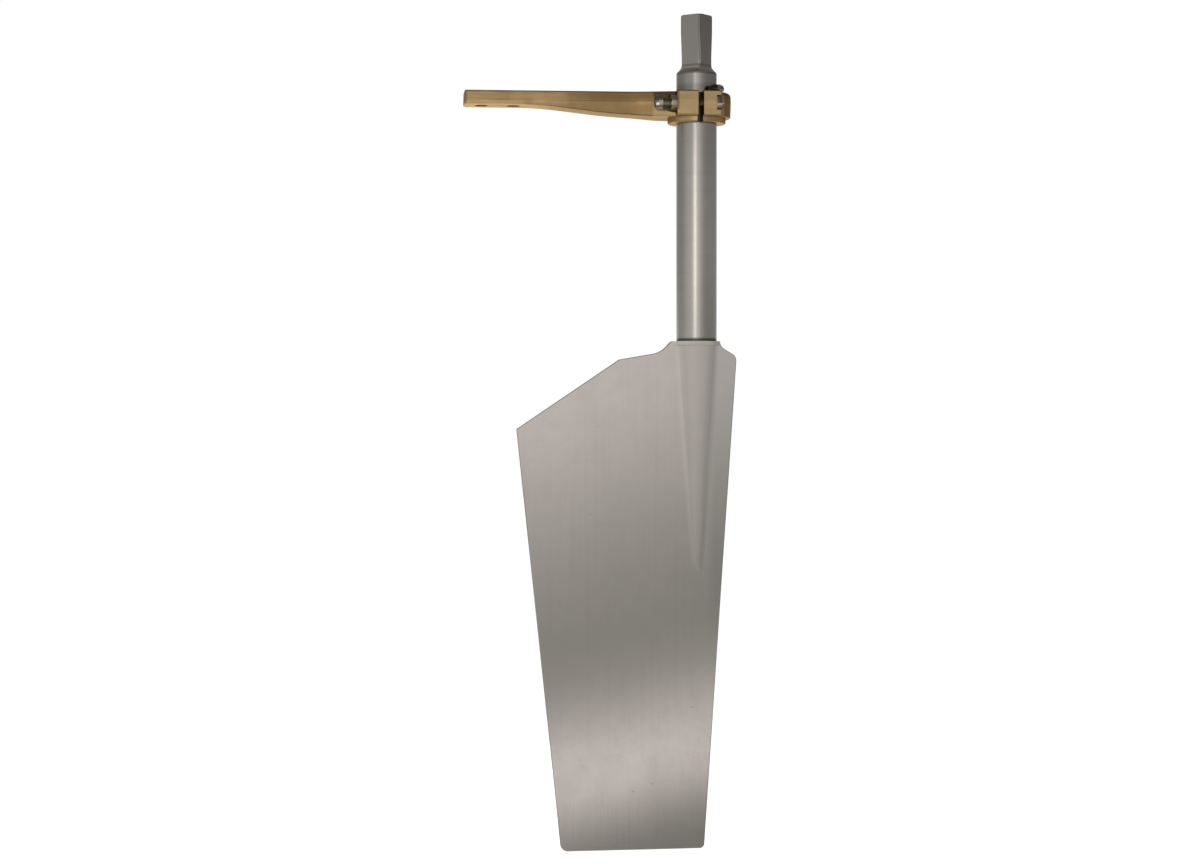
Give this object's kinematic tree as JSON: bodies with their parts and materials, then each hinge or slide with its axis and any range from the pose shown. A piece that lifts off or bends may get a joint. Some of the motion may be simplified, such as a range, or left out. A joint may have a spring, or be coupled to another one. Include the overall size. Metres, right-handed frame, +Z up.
{
  "type": "rudder blade",
  "caption": "Spade rudder: tapered flat steel blade on a turned stock with a square head, and a split bronze tiller arm clamped on below it.",
  "frame": {"origin": "on the stock's axis at the top face of the blade's collar, where the journal starts", "axes": "+Z up along the stock, +X towards the blade's leading edge, with the tiller arm towards -X, +Y across the blade, away from the clamp bolt"},
  "size_m": [0.2703, 0.0734, 0.8274],
  "materials": {
    "rudder_blade": "satin ground, worn soft at the edges",
    "rudder_stock": "fine turned, satin",
    "stock_key": "ground",
    "tiller_arm": "cast bronze, lightly linished, tarnished",
    "clamp_bolt": "bright stainless",
    "clamp_nut": "bright stainless",
    "lock_nut": "bright stainless",
    "lock_nut_insert": "natural nylon",
    "hub_screw": "bright stainless, stained"
  },
  "bodies": {
    "root": {"rudder_blade": "rudder_blade", "rudder_stock": "rudder_stock", "stock_key": "stock_key", "tiller_arm": "tiller_arm", "clamp_bolt": "clamp_bolt", "clamp_nut": "clamp_nut", "lock_nut": "lock_nut", "lock_nut_insert": "lock_nut_insert", "hub_screw": "hub_screw"}
  },
  "joints": []
}
